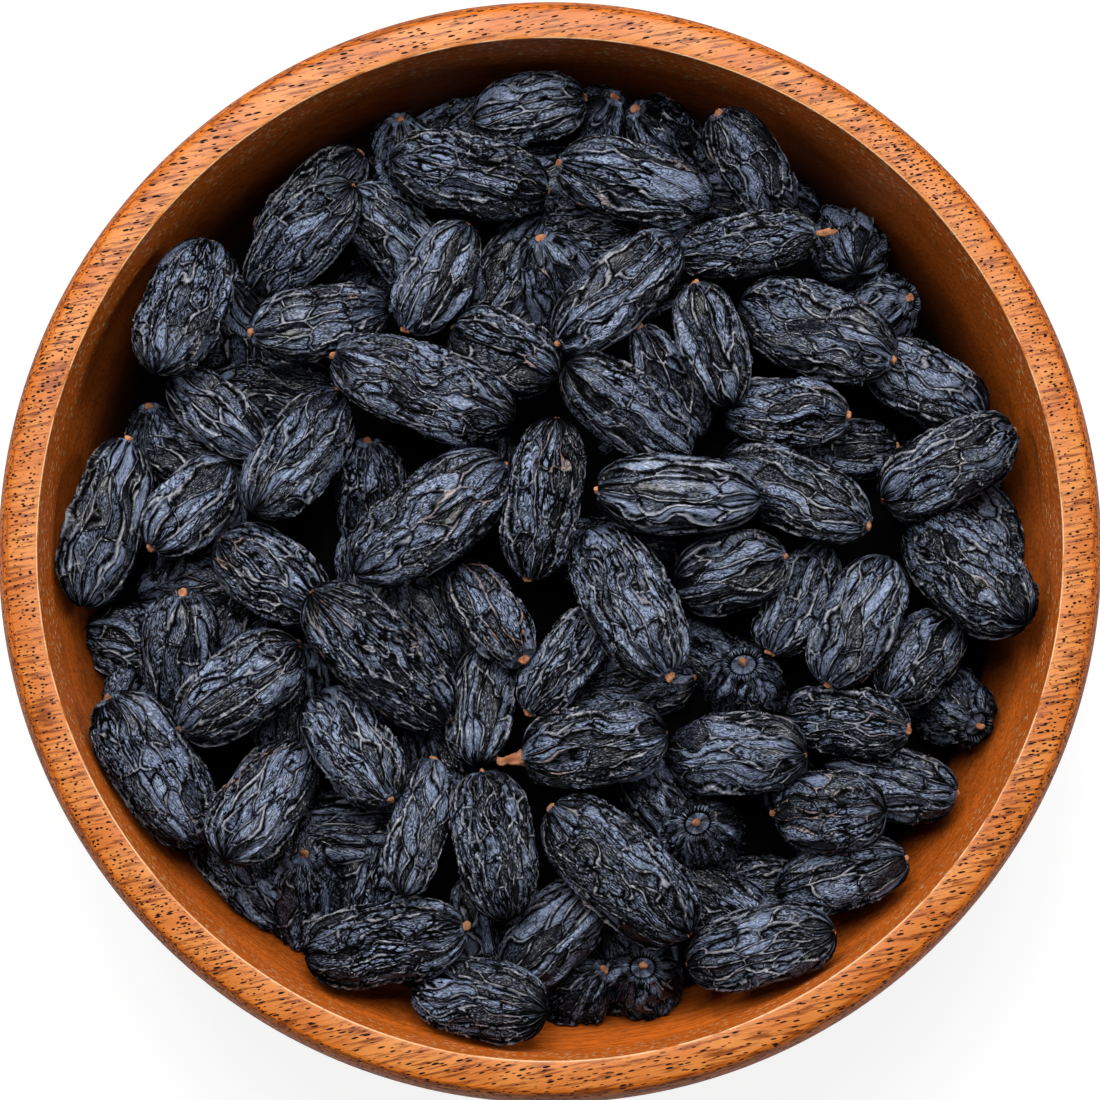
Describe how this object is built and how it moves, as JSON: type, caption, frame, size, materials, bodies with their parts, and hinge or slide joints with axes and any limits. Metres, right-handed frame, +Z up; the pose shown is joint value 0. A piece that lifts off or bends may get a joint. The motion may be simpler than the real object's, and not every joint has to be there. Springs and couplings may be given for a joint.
{
  "type": "bowl of black raisins",
  "caption": "Turned wooden bowl heaped with wrinkled black raisins, to stand on a table or shelf.",
  "frame": {"origin": "on the table, under the middle of the bowl's flat foot", "axes": "+Z up along the bowl's turning axis; +Y away from the viewer, towards the top edge of the picture"},
  "size_m": [0.13, 0.13, 0.0516],
  "materials": {
    "wood": "satin varnish over light orange-brown open-pored wood",
    "raisin_skin": "wrinkled blue-black skin with a waxy sheen and orange-brown cap stems"
  },
  "bodies": {
    "root": {"bowl": "wood", "raisin_bed": "raisin_skin", "raisin_01": "raisin_skin", "raisin_02": "raisin_skin", "raisin_03": "raisin_skin", "raisin_04": "raisin_skin", "raisin_05": "raisin_skin", "raisin_06": "raisin_skin", "raisin_07": "raisin_skin", "raisin_08": "raisin_skin", "raisin_09": "raisin_skin", "raisin_10": "raisin_skin", "raisin_11": "raisin_skin", "raisin_12": "raisin_skin", "raisin_13": "raisin_skin", "raisin_14": "raisin_skin", "raisin_15": "raisin_skin", "raisin_16": "raisin_skin", "raisin_17": "raisin_skin", "raisin_18": "raisin_skin", "raisin_19": "raisin_skin", "raisin_20": "raisin_skin", "raisin_21": "raisin_skin", "raisin_22": "raisin_skin", "raisin_23": "raisin_skin", "raisin_24": "raisin_skin", "raisin_25": "raisin_skin", "raisin_26": "raisin_skin", "raisin_27": "raisin_skin", "raisin_28": "raisin_skin", "raisin_29": "raisin_skin", "raisin_30": "raisin_skin", "raisin_31": "raisin_skin", "raisin_32": "raisin_skin", "raisin_33": "raisin_skin", "raisin_34": "raisin_skin", "raisin_35": "raisin_skin", "raisin_36": "raisin_skin", "raisin_37": "raisin_skin", "raisin_38": "raisin_skin", "raisin_39": "raisin_skin", "raisin_40": "raisin_skin", "raisin_41": "raisin_skin", "raisin_42": "raisin_skin", "raisin_43": "raisin_skin", "raisin_44": "raisin_skin", "raisin_45": "raisin_skin", "raisin_46": "raisin_skin", "raisin_47": "raisin_skin", "raisin_48": "raisin_skin", "raisin_49": "raisin_skin", "raisin_50": "raisin_skin", "raisin_51": "raisin_skin", "raisin_52": "raisin_skin", "raisin_53": "raisin_skin", "raisin_54": "raisin_skin", "raisin_55": "raisin_skin", "raisin_56": "raisin_skin", "raisin_57": "raisin_skin", "raisin_58": "raisin_skin"}
  },
  "joints": []
}
